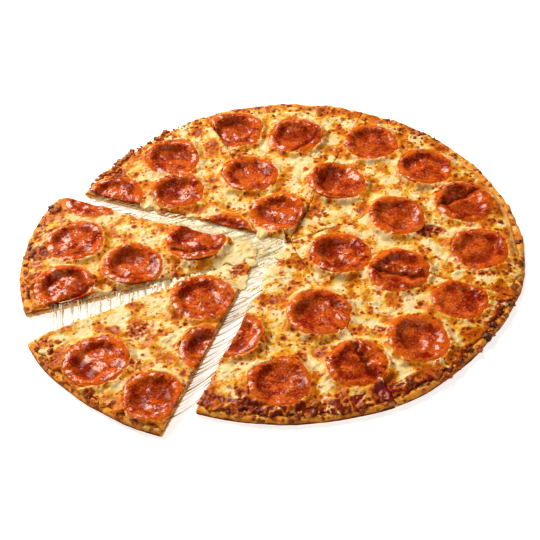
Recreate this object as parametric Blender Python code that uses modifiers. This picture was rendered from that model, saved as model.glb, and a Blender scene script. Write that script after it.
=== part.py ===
"""A thin-crust pepperoni pizza, cut in eight, with two slices drawn out to the left.

Each slice is a wedge of baked dough with a low rim, a blanket of melted cheese on it, and cupped
pepperoni discs on the cheese, cut where a slice's edge crosses them. Stretched cheese still joins
the two drawn slices to the rest. The pizza lies flat on its base, seen from -Y, with +Z up. The
origin is under the middle of its outline.
"""

import math
from collections import namedtuple

import bmesh
import bpy
from mathutils import Vector, noise

# The whole pizza, in metres
PIZZA_RADIUS = 0.175
KERF = 0.0009  # what the cutting wheel leaves open between two slices
SLICE_SPAN = 45.0
FIRST_CUT = 21.9
BLUNT_TIP = 0.0015
GAP = 0.00035  # air left between two pieces that touch

# Dough: (distance in from the rim, height) over the rim and down its side
BASE_HEIGHT = 0.0042
CRUST_PROFILE = (
    (0.0095, BASE_HEIGHT),
    (0.0065, 0.0048),
    (0.0036, 0.0057),
    (0.0016, 0.0054),
    (0.0002, 0.0042),
    (-0.0003, 0.0026),
    (0.0005, 0.0010),
    (0.0020, 0.0),
)
CRUST_STEPS = 14
RIM_WANDER = 0.0012
RIM_BLISTER = 0.0009
RIM_EDGE = 0.0034  # how far in from the rim it wanders and blisters
RIM_DENTS = ((137, 16, 0.0040), (318, 14, 0.0028), (20, 12, 0.0012))  # middle, half width, depth
DENT_REACH = (0.010, 0.060)  # the dents are full this near to the rim, and gone this far in

# Cheese
CHEESE_TOP = 0.0074
CHEESE_EDGE = 0.0055  # how far in from the rim the cheese stops
CHEESE_EDGE_WANDER = 0.0016
CHEESE_EDGE_THICKNESS = 0.0010
CHEESE_STEPS = 10
CHEESE_RINGS = 17
LUMP_SIZE, LUMP_HEIGHT = 0.021, 0.0010
PIMPLE_SIZE, PIMPLE_HEIGHT = 0.0085, 0.0006

# Pepperoni
PEPPERONI_THICKNESS = 0.0016
PEPPERONI_MIDDLE = 0.0075  # height of a disc's middle, sunk a little in the cheese
PEPPERONI_RINGS = (0.50, 0.82, 1.0)
WALL_REACH = (0.48, 0.84)  # where the wall round the floor starts and ends, in radii
WALL_SHARE = 0.60  # how much of the curl is in that wall, and not in the brim
PEPPERONI_STEPS = 18
SINK_MARGIN = 0.0060
SINK_CLEARANCE = 0.0010

# Cheese stretched across the open cuts
WEB_THICKNESS = 0.0010
WEB_HEIGHT = 0.0050
WEB_OVERLAP = 0.0030
WEB_CLEARANCE = 0.0006

Slice = namedtuple("Slice", "number centre apex start end tip")
Pepperoni = namedtuple("Pepperoni", "x y radius cup rise slices")

# The two drawn slices: where the middle of the rim's circle has gone, where the two cut edges would
# meet, the directions of those edges, and how far from there the tip starts
DRAWN = {
    4: Slice(4, (-0.0250, -0.0080), (-0.0108, -0.0117), 156.0, 196.4, 0.0120),
    5: Slice(5, (-0.0277, -0.0190), (-0.0240, -0.0150), 205.4, 248.3, BLUNT_TIP),
}

# Each disc: its middle, radius, the height of its curled rim, the direction in degrees in which it
# curls most, and the slices that hold a piece of it
PEPPERONI = (
    Pepperoni(-0.0400, 0.1370, 0.0230, 0.0032, 80, (2,)),
    Pepperoni(0.0100, 0.1270, 0.0225, 0.0032, 20, (2,)),
    Pepperoni(0.0710, 0.1150, 0.0225, 0.0024, 170, (1,)),
    Pepperoni(0.1120, 0.0800, 0.0225, 0.0029, 190, (1,)),
    Pepperoni(0.1370, 0.0350, 0.0230, 0.0026, 110, (8, 1)),
    Pepperoni(0.1410, -0.0180, 0.0225, 0.0020, 30, (8,)),
    Pepperoni(0.1200, -0.0700, 0.0205, 0.0013, 200, (7,)),
    Pepperoni(0.0860, -0.1080, 0.0220, 0.0029, 140, (7,)),
    Pepperoni(0.0410, -0.1290, 0.0215, 0.0021, 30, (6, 7)),
    Pepperoni(-0.0110, -0.1420, 0.0220, 0.0022, 160, (6,)),
    Pepperoni(-0.0970, -0.1510, 0.0215, 0.0019, 60, (5,)),
    Pepperoni(-0.1370, -0.1170, 0.0230, 0.0021, 50, (5,)),
    Pepperoni(-0.1650, -0.0440, 0.0225, 0.0032, 90, (4,)),
    Pepperoni(-0.1620, 0.0070, 0.0225, 0.0024, 0, (4,)),
    Pepperoni(-0.1520, 0.0580, 0.0220, 0.0010, 250, (4,)),
    Pepperoni(-0.1350, 0.0590, 0.0225, 0.0018, 100, (3,)),
    Pepperoni(-0.0910, 0.1045, 0.0225, 0.0026, 110, (3,)),
    Pepperoni(-0.0850, 0.0612, 0.0205, 0.0029, 150, (3,)),
    Pepperoni(-0.0280, 0.0790, 0.0225, 0.0029, 200, (2, 3)),
    Pepperoni(0.0400, 0.0650, 0.0230, 0.0037, 190, (1, 2)),
    Pepperoni(0.0840, 0.0220, 0.0220, 0.0030, 160, (8, 1)),
    Pepperoni(0.0790, -0.0390, 0.0225, 0.0024, 60, (7, 8)),
    Pepperoni(0.0190, -0.0790, 0.0230, 0.0029, 180, (6, 7)),
    Pepperoni(-0.0430, -0.0970, 0.0220, 0.0029, 20, (6,)),
    Pepperoni(-0.0580, -0.1100, 0.0220, 0.0026, 140, (5,)),
    Pepperoni(-0.0640, -0.0600, 0.0225, 0.0026, 170, (5,)),
    Pepperoni(-0.1160, -0.0220, 0.0225, 0.0032, 170, (4,)),
    Pepperoni(-0.0700, 0.0020, 0.0230, 0.0034, 280, (4,)),
    Pepperoni(-0.0500, 0.0100, 0.0220, 0.0016, 80, (3,)),
    Pepperoni(-0.0070, 0.0310, 0.0215, 0.0032, 20, (2, 3)),
    Pepperoni(0.0370, -0.0190, 0.0230, 0.0032, 200, (7, 8)),
)


def direction(degrees):
    """The flat unit vector that points that way."""
    angle = math.radians(degrees)
    return Vector((math.cos(angle), math.sin(angle)))


def ramp(value, low, high):
    """0 below low, 1 above high, and smooth between."""
    share = min(1.0, max(0.0, (value - low) / (high - low)))
    return share * share * (3 - 2 * share)


def inset_slice(number):
    """The slice as it lies, with its cut edges moved in by half the kerf."""
    first = FIRST_CUT + SLICE_SPAN * (number - 1)
    whole = Slice(number, (0, 0), (0, 0), first, first + SLICE_SPAN, BLUNT_TIP)
    cut = DRAWN.get(number, whole)
    half_span = math.radians((cut.end - cut.start) / 2)
    middle = direction((cut.start + cut.end) / 2)
    apex = Vector(cut.apex) + middle * (KERF / 2 / math.sin(half_span))
    return cut._replace(centre=Vector(cut.centre), apex=apex)


def rim_distance(cut, degrees):
    """How far the round rim is from the slice's apex, in that direction."""
    along = direction(degrees)
    offset = cut.apex - cut.centre
    reach = along.dot(offset)
    return -reach + math.sqrt(reach**2 - offset.length_squared + PIZZA_RADIUS**2)


def rim_dent(degrees, inward):
    """How far a point near the rim lies inside its circle: the pizza isn't quite round."""
    depth = 0.0
    for middle, half_width, most in RIM_DENTS:
        away = (degrees - middle + 180) % 360 - 180
        depth += most * (1 - ramp(abs(away), 0.0, 2 * half_width))
    return depth * (1 - ramp(inward, DENT_REACH[0], DENT_REACH[1]))


def crust_height(inward):
    """The height of the dough's upper side, that far in from the rim."""
    points = CRUST_PROFILE[:4]
    if inward >= points[0][0]:
        return points[0][1]
    for (outer_in, outer_z), (inner_in, inner_z) in zip(points[1:], points):
        if inward >= outer_in:
            share = (inward - outer_in) / (inner_in - outer_in)
            return outer_z + share * (inner_z - outer_z)
    return points[-1][1]


def disc_height(disc, x, y):
    """The height of a disc's middle layer: a sunken floor, a wall round it, and a wide wavy brim."""
    dx, dy = x - disc.x, y - disc.y
    reach = math.hypot(dx, dy) / disc.radius
    turn = math.atan2(dy, dx) - math.radians(disc.rise)
    lean = 1 + 0.45 * math.cos(turn) + 0.22 * math.cos(3 * turn + disc.x * 90)
    curl = WALL_SHARE * ramp(reach, *WALL_REACH) + (1 - WALL_SHARE) * reach**4
    return PEPPERONI_MIDDLE + disc.cup * lean * curl


def cheese_height(cut, x, y):
    """The height of the melted cheese, which lies low under each disc."""
    place = Vector((x, y, cut.number * 0.03))
    height = CHEESE_TOP
    height += LUMP_HEIGHT * noise.noise(place / LUMP_SIZE)
    height += PIMPLE_HEIGHT * noise.noise(place / PIMPLE_SIZE)
    for disc in PEPPERONI:
        near = math.hypot(x - disc.x, y - disc.y) < disc.radius + SINK_MARGIN
        if cut.number in disc.slices and near:
            under = disc_height(disc, x, y) - PEPPERONI_THICKNESS / 2 - SINK_CLEARANCE
            height = min(height, under)
    return height


def spun_wedge(cut, profile, steps):
    """A closed profile of (distance in from the rim, height, is on top) swung round the apex."""
    mesh = bmesh.new()
    top = mesh.verts.layers.int.new("top")
    first = direction(cut.start)
    verts = []
    for distance, height, on_top in profile:
        place = cut.apex + first * distance
        vert = mesh.verts.new((place.x, place.y, height))
        vert[top] = on_top
        verts.append(vert)
    edges = [mesh.edges.new((a, b)) for a, b in zip(verts, verts[1:] + verts[:1])]
    bmesh.ops.spin(
        mesh,
        geom=verts + edges,
        cent=(cut.apex.x, cut.apex.y, 0),
        axis=(0, 0, 1),
        angle=math.radians(cut.end - cut.start),
        steps=steps,
    )
    open_ends = [edge for edge in mesh.edges if edge.is_boundary]
    bmesh.ops.holes_fill(mesh, edges=open_ends)
    return mesh, top


def polar(cut, vert):
    """A point's direction in degrees and distance from the slice's apex."""
    offset = vert.co.xy - cut.apex
    return math.degrees(math.atan2(offset.y, offset.x)), offset.length


def finished(mesh, name, material, smooth=True):
    """The mesh as an object in the pizza's collection."""
    bmesh.ops.recalc_face_normals(mesh, faces=mesh.faces)
    data = bpy.data.meshes.new(name)
    mesh.to_mesh(data)
    mesh.free()
    if smooth:
        data.shade_smooth()
        data.set_sharp_from_angle(angle=math.radians(40))
    data.materials.append(material)
    made = bpy.data.objects.new(name, data)
    pizza.objects.link(made)
    made.parent = resting_place
    return made


def make_crust(cut):
    """A wedge of dough: flat base, straight cut sides, and a low rim with a wandering outline."""
    profile = [(cut.tip, 0.0, 0), (cut.tip, BASE_HEIGHT, 1)]
    profile += [(PIZZA_RADIUS - inward, z, int(z > 0)) for inward, z in CRUST_PROFILE]
    mesh, top = spun_wedge(cut, profile, CRUST_STEPS)
    for vert in mesh.verts:
        angle, distance = polar(cut, vert)
        inward = PIZZA_RADIUS - distance
        if inward > PIZZA_RADIUS / 2:
            continue
        along = direction(angle)
        place = Vector((along.x, along.y, 0.2 * cut.number)) * 7
        wander = RIM_WANDER * noise.noise(place) * (1 - ramp(inward, 0.0, RIM_EDGE))
        distance *= rim_distance(cut, angle) / PIZZA_RADIUS
        vert.co.xy = cut.apex + along * (distance + wander - rim_dent(angle, inward))
        if vert[top] and inward < RIM_EDGE:
            vert.co.z += RIM_BLISTER * noise.noise(place * 3) * vert.co.z / BASE_HEIGHT
    return finished(mesh, f"crust_slice_{cut.number}", dough)


def make_cheese(cut):
    """The cheese blanket of one slice: a lumpy top, thin at its ragged edge, on the dough."""
    rings = [index / CHEESE_RINGS for index in range(CHEESE_RINGS + 1)]
    outer = PIZZA_RADIUS - CHEESE_EDGE
    bend = PIZZA_RADIUS - CRUST_PROFILE[0][0]
    profile = [(cut.tip, BASE_HEIGHT, 0)]
    profile += [(cut.tip + (outer - cut.tip) * share**0.85, CHEESE_TOP, 1) for share in rings]
    profile += [(outer, BASE_HEIGHT, 0), (bend, BASE_HEIGHT, 0)]
    mesh, top = spun_wedge(cut, profile, CHEESE_STEPS)
    for vert in mesh.verts:
        angle, distance = polar(cut, vert)
        along = direction(angle)
        at_edge = ramp(distance, bend, outer)
        place = Vector((along.x, along.y, 0.3 * cut.number)) * 9
        wander = CHEESE_EDGE_WANDER * at_edge * noise.noise(place)
        distance += wander
        inward = PIZZA_RADIUS - distance
        floor = crust_height(inward) + GAP
        stretched = distance * rim_distance(cut, angle) / PIZZA_RADIUS
        stretched -= rim_dent(angle, inward)
        vert.co.xy = cut.apex + along * stretched
        height = cheese_height(cut, vert.co.x, vert.co.y)
        edge_top = floor + CHEESE_EDGE_THICKNESS
        vert.co.z = height + at_edge * (edge_top - height) if vert[top] else floor
    return finished(mesh, f"cheese_slice_{cut.number}", cheese)


def edge_planes(cut):
    """A point on each cut edge of a slice, with the direction that points out of the slice."""
    start, end = direction(cut.start), direction(cut.end)
    return ((cut.apex, Vector((start.y, -start.x))), (cut.apex, Vector((-end.y, end.x))))


def make_pepperoni(disc, number, cut):
    """A thin cupped disc, or what a slice's cut edges leave of it."""
    mesh = bmesh.new()
    spokes = [mesh.verts.new((disc.x, disc.y, 0))]
    spokes += [mesh.verts.new((disc.x + disc.radius * r, disc.y, 0)) for r in PEPPERONI_RINGS]
    edges = [mesh.edges.new(pair) for pair in zip(spokes, spokes[1:])]
    bmesh.ops.spin(
        mesh,
        geom=spokes + edges,
        cent=(disc.x, disc.y, 0),
        axis=(0, 0, 1),
        angle=math.tau,
        steps=PEPPERONI_STEPS,
        use_merge=True,
    )
    bmesh.ops.remove_doubles(mesh, verts=mesh.verts, dist=1e-6)
    for point, outwards in edge_planes(cut):
        bmesh.ops.bisect_plane(
            mesh,
            geom=mesh.verts[:] + mesh.edges[:] + mesh.faces[:],
            dist=1e-6,
            plane_co=(point.x, point.y, 0),
            plane_no=(outwards.x, outwards.y, 0),
            clear_outer=True,
        )
    for vert in mesh.verts:
        vert.co.z = disc_height(disc, vert.co.x, vert.co.y)
    made = finished(mesh, f"pepperoni_{number:02d}_on_slice_{cut.number}", sausage)
    shell = made.modifiers.new("thickness", "SOLIDIFY")
    shell.thickness = PEPPERONI_THICKNESS
    shell.offset = 0
    return made


def make_web(outline, name):
    """A flat sheet of stretched cheese with this outline, to be joined to a slice's cheese."""
    mesh = bmesh.new()
    face = mesh.faces.new([mesh.verts.new((p.x, p.y, WEB_HEIGHT)) for p in outline])
    raised = bmesh.ops.extrude_face_region(mesh, geom=[face])["geom"]
    lifted = [item for item in raised if isinstance(item, bmesh.types.BMVert)]
    bmesh.ops.translate(mesh, verts=lifted, vec=(0, 0, WEB_THICKNESS))
    return finished(mesh, name, cheese, smooth=False)


def point_on_edge(cut, degrees, distance, outwards):
    """A point that far along a cut edge, and that far out of the slice."""
    along = direction(degrees)
    side = 1 if degrees == cut.end else -1
    return cut.apex + along * distance + Vector((-along.y, along.x)) * side * outwards


def bridge(held, held_edge, held_reach, other, other_edge, other_reach):
    """The outline of a sheet from inside one slice to just short of the other's cut edge."""
    return (
        point_on_edge(held, held_edge, held_reach[0], -WEB_OVERLAP),
        point_on_edge(held, held_edge, held_reach[1], -WEB_OVERLAP),
        point_on_edge(other, other_edge, other_reach[1], WEB_CLEARANCE),
        point_on_edge(other, other_edge, other_reach[0], WEB_CLEARANCE),
    )


def tip_sheet(held, upper, lower, reach):
    """The outline of the sheet that joins a drawn slice's tip to the corner that it left."""
    middle = direction((held.start + held.end) / 2)
    return (
        point_on_edge(upper, upper.end, reach[0], WEB_CLEARANCE),
        point_on_edge(upper, upper.end, reach[1], WEB_CLEARANCE),
        held.apex + middle * (held.tip + WEB_OVERLAP),
        point_on_edge(lower, lower.start, reach[1], WEB_CLEARANCE),
        point_on_edge(lower, lower.start, reach[0], WEB_CLEARANCE),
    )


def join_webs(target, outlines):
    """One Boolean union of stretched sheets with a slice's cheese, after which the sheets go."""
    sheets = bpy.data.collections.new(f"{target.name}_webs")
    bpy.context.scene.collection.children.link(sheets)
    for number, outline in enumerate(outlines, start=1):
        web = make_web(outline, f"{target.name}_web_{number}")
        pizza.objects.unlink(web)
        sheets.objects.link(web)
    union = target.modifiers.new("webs", "BOOLEAN")
    union.operation = "UNION"
    union.operand_type = "COLLECTION"
    union.collection = sheets
    graph = bpy.context.evaluated_depsgraph_get()
    joined = bpy.data.meshes.new_from_object(target.evaluated_get(graph))
    target.modifiers.clear()
    target.data = joined
    for web in list(sheets.objects):
        bpy.data.objects.remove(web)
    bpy.data.collections.remove(sheets)


def make_material(name, colour, roughness):
    """A plain baked or oily surface."""
    material = bpy.data.materials.new(name)
    material.use_nodes = True
    shader = material.node_tree.nodes["Principled BSDF"]
    shader.inputs["Base Color"].default_value = (*colour, 1)
    shader.inputs["Roughness"].default_value = roughness
    return material


for old in list(bpy.data.objects):
    bpy.data.objects.remove(old)
pizza = bpy.data.collections.new("pepperoni_pizza")
bpy.context.scene.collection.children.link(pizza)
resting_place = bpy.data.objects.new("resting_place", None)
pizza.objects.link(resting_place)

dough = make_material("baked_dough", (0.72, 0.42, 0.15), 0.75)
cheese = make_material("melted_cheese", (0.90, 0.68, 0.32), 0.40)
sausage = make_material("pepperoni", (0.62, 0.13, 0.05), 0.35)

slices = {number: inset_slice(number) for number in range(1, 9)}
blankets = {}
for number, cut in slices.items():
    make_crust(cut)
    blankets[number] = make_cheese(cut)
for number, disc in enumerate(PEPPERONI, start=1):
    for holder in disc.slices:
        make_pepperoni(disc, number, slices[holder])

upper, left, lower, bottom = slices[3], slices[4], slices[5], slices[6]
join_webs(
    blankets[4],
    [
        bridge(left, left.start, (0.016, 0.104), upper, upper.end, (0.012, 0.118)),
        bridge(left, left.end, (0.018, 0.064), lower, lower.start, (0.006, 0.048)),
        tip_sheet(left, upper, bottom, (0.004, 0.018)),
    ],
)
join_webs(
    blankets[5],
    [bridge(lower, lower.end, (0.004, 0.036), bottom, bottom.start, (0.022, 0.058))],
)

# The origin goes under the middle of the outline
bpy.context.view_layer.update()
graph = bpy.context.evaluated_depsgraph_get()
corners = [
    part.matrix_world @ Vector(corner)
    for part in pizza.objects
    if part.type == "MESH"
    for corner in part.evaluated_get(graph).bound_box
]
for axis in range(2):
    reach = [corner[axis] for corner in corners]
    resting_place.location[axis] = -(min(reach) + max(reach)) / 2
bpy.context.view_layer.update()
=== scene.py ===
"""A thin-crust pepperoni pizza cut in eight, two slices drawn out on strings of melted cheese."""

import math
import random

import bpy
import numpy as np
from mathutils import Matrix, Vector, noise


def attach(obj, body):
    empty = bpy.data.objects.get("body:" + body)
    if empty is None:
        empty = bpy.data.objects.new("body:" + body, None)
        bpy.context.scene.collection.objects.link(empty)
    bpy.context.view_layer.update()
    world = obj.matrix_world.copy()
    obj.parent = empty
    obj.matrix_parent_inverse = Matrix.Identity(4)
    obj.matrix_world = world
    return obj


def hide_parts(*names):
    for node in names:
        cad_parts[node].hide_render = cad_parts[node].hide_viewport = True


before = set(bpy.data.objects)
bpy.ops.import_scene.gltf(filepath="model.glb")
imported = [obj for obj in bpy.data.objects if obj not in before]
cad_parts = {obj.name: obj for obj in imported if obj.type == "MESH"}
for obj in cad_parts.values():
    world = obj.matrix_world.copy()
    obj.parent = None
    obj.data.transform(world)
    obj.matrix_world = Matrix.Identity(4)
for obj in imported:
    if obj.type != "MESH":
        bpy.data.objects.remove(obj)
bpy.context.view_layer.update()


# The crust. Eight wedges of baked dough lie as the cutting wheel left them: six together, and two
# drawn out to the left. The rim is blistered and browned, with a few burnt bubbles; the cut sides
# show pale crumb under a stain of sauce, and the base is floury and brown where it met the oven.

MM = 0.001
PIZZA_CENTRE = Vector((0.0125, 0.0035))  # where the cuts meet, from the frame's origin
PIZZA_RADIUS = 0.175
FIRST_CUT, SLICE_SPAN = 21.9, 45.0
CRUST_GRAIN = 1.1 * MM
CRUMB_CLOSED = 0.00040  # how far the dough springs back over a closed cut
LEFT, LOWER_LEFT = 4, 5  # the two drawn slices

# Of each drawn slice: its rim's middle, where its cut edges meet, and their two directions
DRAWN = {
    LEFT: ((-0.0250, -0.0080), (-0.0108, -0.0117), 156.0, 196.4),
    LOWER_LEFT: ((-0.0277, -0.0190), (-0.0240, -0.0150), 205.4, 248.3),
}

# How far the rim has spread outwards as it baked, in mm, by the direction from its middle: of the six
# slices that lie together, and of each drawn one
LYING = 0
RIM_SPREAD = {
    LYING: {-108: 0.4, -87: -0.6, -70: 0.4, -48: 0.8, -36: 0.0, -15: 1.3, 8: 1.5, 30: 0.6, 55: 0.9,
            72: 1.5, 90: 2.0, 106: 2.0, 120: 1.6, 140: 1.3, 157: 1.8},
    LEFT: {156: -1.6, 166: -0.5, 175: 0.9, 185: 1.7, 196: 2.2},
    LOWER_LEFT: {205: 2.4, 212: 1.9, 219: 0.7, 228: -1.2, 248: -1.5},
}
SPREAD_ROOT = 0.012  # how far in from the rim the spreading starts
RISEN, RISEN_SIDE = 1.2, 102  # how far the far side's rim has risen, in mm, and where it is highest


def direction(degrees):
    """The flat unit vector that points that way."""
    angle = math.radians(degrees)
    return Vector((math.cos(angle), math.sin(angle)))


def slice_layout(number):
    """A slice's rim middle, its apex, and the directions of its two cut edges, in the frame."""
    start = FIRST_CUT + SLICE_SPAN * (number - 1)
    middle, apex, start, end = DRAWN.get(number, ((0, 0), (0, 0), start, start + SLICE_SPAN))
    return Vector(middle) + PIZZA_CENTRE, Vector(apex) + PIZZA_CENTRE, start, end


def out_of_cut(degrees, is_end):
    """The direction that points out of a slice, square to one of its cut edges."""
    along = direction(degrees)
    return Vector((-along.y, along.x)) if is_end else Vector((along.y, -along.x))


def cut_sides(number, closing):
    """The directions out of a slice's two cut sides, and how far each closes: not at an open cut."""
    _, _, start, end = slice_layout(number)
    sides = []
    for degrees, is_end, neighbour in ((start, False, number - 1), (end, True, number + 1)):
        is_open = number in DRAWN or neighbour in DRAWN
        sides.append((out_of_cut(degrees, is_end), 0.0 if is_open else closing))
    return sides


def ramp(value, low, high):
    """0 at low, 1 at high, and smooth between; low may be above high."""
    share = min(1.0, max(0.0, (value - low) / (high - low)))
    return share * share * (3 - 2 * share)


def oven_spread(flat, middle, number):
    """How far baking has moved that place on a slice: its rim outwards, and up at the far side."""
    offset = flat - middle
    near_rim = ramp(PIZZA_RADIUS - offset.length, SPREAD_ROOT, 0.0)
    if near_rim == 0:
        return Vector((0, 0, 0))
    spread_by_heading = RIM_SPREAD.get(number, RIM_SPREAD[LYING])
    heading = math.degrees(math.atan2(offset.y, offset.x))
    headings, spreads = list(spread_by_heading), list(spread_by_heading.values())
    outwards = offset.normalized() * float(np.interp(heading, headings, spreads, period=360))
    risen = RISEN * ramp(offset.normalized().dot(direction(RISEN_SIDE)), 0.72, 0.97)
    risen *= number not in DRAWN
    return Vector((outwards.x, outwards.y, risen)) * near_rim * MM


def new_object(name, data):
    """An object in the scene with that mesh, curve, light or camera."""
    made = bpy.data.objects.new(name, data)
    bpy.context.scene.collection.objects.link(made)
    return made


def only(piece):
    """Selects that object alone and makes it active."""
    bpy.ops.object.select_all(action="DESELECT")
    piece.select_set(True)
    bpy.context.view_layer.objects.active = piece


def apply_all(piece):
    """Applies every modifier on the piece, in order."""
    only(piece)
    for modifier in list(piece.modifiers):
        bpy.ops.object.modifier_apply(modifier=modifier.name)


def fine_copy(node_name, name, grain):
    """A copy of a CAD node, its triangles merged and rebuilt as an even fine mesh."""
    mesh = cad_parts[node_name].data.copy()
    piece = new_object(name, mesh)
    only(piece)
    bpy.ops.object.mode_set(mode="EDIT")
    bpy.ops.mesh.select_all(action="SELECT")
    bpy.ops.mesh.remove_doubles(threshold=1e-6)
    bpy.ops.object.mode_set(mode="OBJECT")
    remesh = piece.modifiers.new("even", "REMESH")
    remesh.mode = "VOXEL"
    remesh.voxel_size = grain
    remesh.use_smooth_shade = True
    return piece


def shape(piece, relief, names):
    """Moves each point as relief says, and keeps the values that it gives as attributes."""
    mesh = piece.data
    count = len(mesh.vertices)
    places = np.empty(count * 3, np.float32)
    mesh.vertices.foreach_get("co", places)
    places = places.reshape(-1, 3)
    values = np.zeros((count, len(names)), np.float32)
    normals = [vertex.normal.copy() for vertex in mesh.vertices]
    for index in range(count):
        moved, kept = relief(Vector(places[index]), normals[index])
        places[index] = moved
        values[index] = kept
    mesh.vertices.foreach_set("co", places.ravel())
    for column, name in enumerate(names):
        attribute = mesh.attributes.new(name, "FLOAT", "POINT")
        attribute.data.foreach_set("value", np.ascontiguousarray(values[:, column]))
    mesh.update()


def dress(piece, material, slot, *nodes):
    """Gives a finished piece its material and its place in the frame."""
    piece.data.materials.clear()
    piece.data.materials.append(material)
    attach(piece, "root")
    if nodes:
        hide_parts(*nodes)


def rgb(red, green, blue, alpha=1.0):
    """A colour as it is seen on a screen, 0 to 255, as the light that it stands for."""
    light = [((c / 255 + 0.055) / 1.055) ** 2.4 if c > 10 else c / 3294.6 for c in (red, green, blue)]
    return (*light, alpha)


def set_inputs(tree, made, inputs):
    """Sets each input of a node to its value, or joins it to another node's output."""
    for key, value in inputs.items():
        if isinstance(value, bpy.types.NodeSocket):
            tree.links.new(value, made.inputs[key])
        else:
            made.inputs[key].default_value = value


def add_node(tree, kind, inputs=(), **settings):
    """A shader node, with each named input set to a value or joined to another node's output."""
    made = tree.nodes.new(kind)
    for key, value in settings.items():
        setattr(made, key, value)
    set_inputs(tree, made, dict(inputs))
    return made


def add_bump(tree, shader, strength, distance, height):
    """Makes a shader's surface uneven by a height."""
    inputs = {"Strength": strength, "Distance": distance, "Height": height}
    bump = add_node(tree, "ShaderNodeBump", inputs)
    tree.links.new(bump.outputs[0], shader.inputs["Normal"])


def mix_colour(tree, share, low, high):
    """Two colours mixed by a share, a colour being a value or another node's output."""
    inputs = {0: share, 6: low, 7: high}
    return add_node(tree, "ShaderNodeMix", inputs, data_type="RGBA").outputs[2]


def maths(tree, operation, first, second=0.0, third=0.0, clamp=False):
    """One step of arithmetic."""
    made = add_node(tree, "ShaderNodeMath", {0: first, 1: second, 2: third}, operation=operation)
    made.use_clamp = clamp
    return made.outputs[0]


def spread(tree, value, low, high, to_low=0.0, to_high=1.0):
    """A value mapped smoothly from one range to another."""
    inputs = {0: value, 1: low, 2: high, 3: to_low, 4: to_high}
    made = add_node(tree, "ShaderNodeMapRange", inputs, interpolation_type="SMOOTHSTEP")
    return made.outputs[0]


def noise_at(tree, place, scale, detail=3.0, roughness=0.55):
    """Cloudy noise at a place, with that many clouds to the metre."""
    inputs = {"Vector": place, "Scale": scale, "Detail": detail, "Roughness": roughness}
    return add_node(tree, "ShaderNodeTexNoise", inputs).outputs["Fac"]


def kept(tree, name):
    """A value that the mesh carries."""
    return add_node(tree, "ShaderNodeAttribute", attribute_name=name).outputs["Fac"]


def new_material(name):
    """An empty material, with its tree, its shader and its Object coordinates."""
    material = bpy.data.materials.new(name)
    material.use_nodes = True
    tree = material.node_tree
    place = add_node(tree, "ShaderNodeTexCoord").outputs["Object"]
    return material, tree, tree.nodes["Principled BSDF"], place


def make_group(name, inputs, outputs):
    """A shader group with those float inputs and outputs, and a place to read."""
    group = bpy.data.node_groups.new(name, "ShaderNodeTree")
    group.interface.new_socket("Place", in_out="INPUT", socket_type="NodeSocketVector")
    for label, default in inputs.items():
        socket = group.interface.new_socket(label, in_out="INPUT", socket_type="NodeSocketFloat")
        socket.default_value = default
    for label in outputs:
        group.interface.new_socket(label, in_out="OUTPUT", socket_type="NodeSocketFloat")
    return group, group.nodes.new("NodeGroupInput"), group.nodes.new("NodeGroupOutput")


def toasted_spots_group():
    """Small brown spots in loose clusters, as the oven's top heat leaves on dough and cheese."""
    inputs = {"Size": 0.004, "Cover": 0.5, "Edge": 0.12}
    group, given, out = make_group("toasted_spots", inputs, ["Mask"])
    per_metre = maths(group, "DIVIDE", 1.0, given.outputs["Size"])
    bend = add_node(group, "ShaderNodeTexNoise", {"Vector": given.outputs["Place"], "Scale": 260.0})
    inputs = {0: bend.outputs["Color"], "Scale": 0.0035}
    offset = add_node(group, "ShaderNodeVectorMath", inputs, operation="SCALE")
    where = add_node(group, "ShaderNodeVectorMath", {0: given.outputs["Place"], 1: offset.outputs[0]})
    cells = add_node(group, "ShaderNodeTexVoronoi", {"Vector": where.outputs[0], "Scale": per_metre})
    pick = add_node(group, "ShaderNodeSeparateColor", {0: cells.outputs["Color"]}).outputs[0]
    clusters = noise_at(group, given.outputs["Place"], 55.0, 2.0)
    reach = maths(group, "MULTIPLY", maths(group, "ADD", pick, clusters), given.outputs["Cover"])
    inside = maths(group, "SUBTRACT", reach, maths(group, "ADD", cells.outputs["Distance"], 0.28))
    soft = maths(group, "DIVIDE", inside, given.outputs["Edge"], clamp=True)
    group.links.new(soft, out.inputs["Mask"])
    return group


def use_group(tree, group, place, **values):
    """Places a shader group in a material, with its own values."""
    made = add_node(tree, "ShaderNodeGroup", node_tree=group)
    tree.links.new(place, made.inputs["Place"])
    set_inputs(tree, made, {label.capitalize(): value for label, value in values.items()})
    return made.outputs


toasted_spots = toasted_spots_group()


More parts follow.
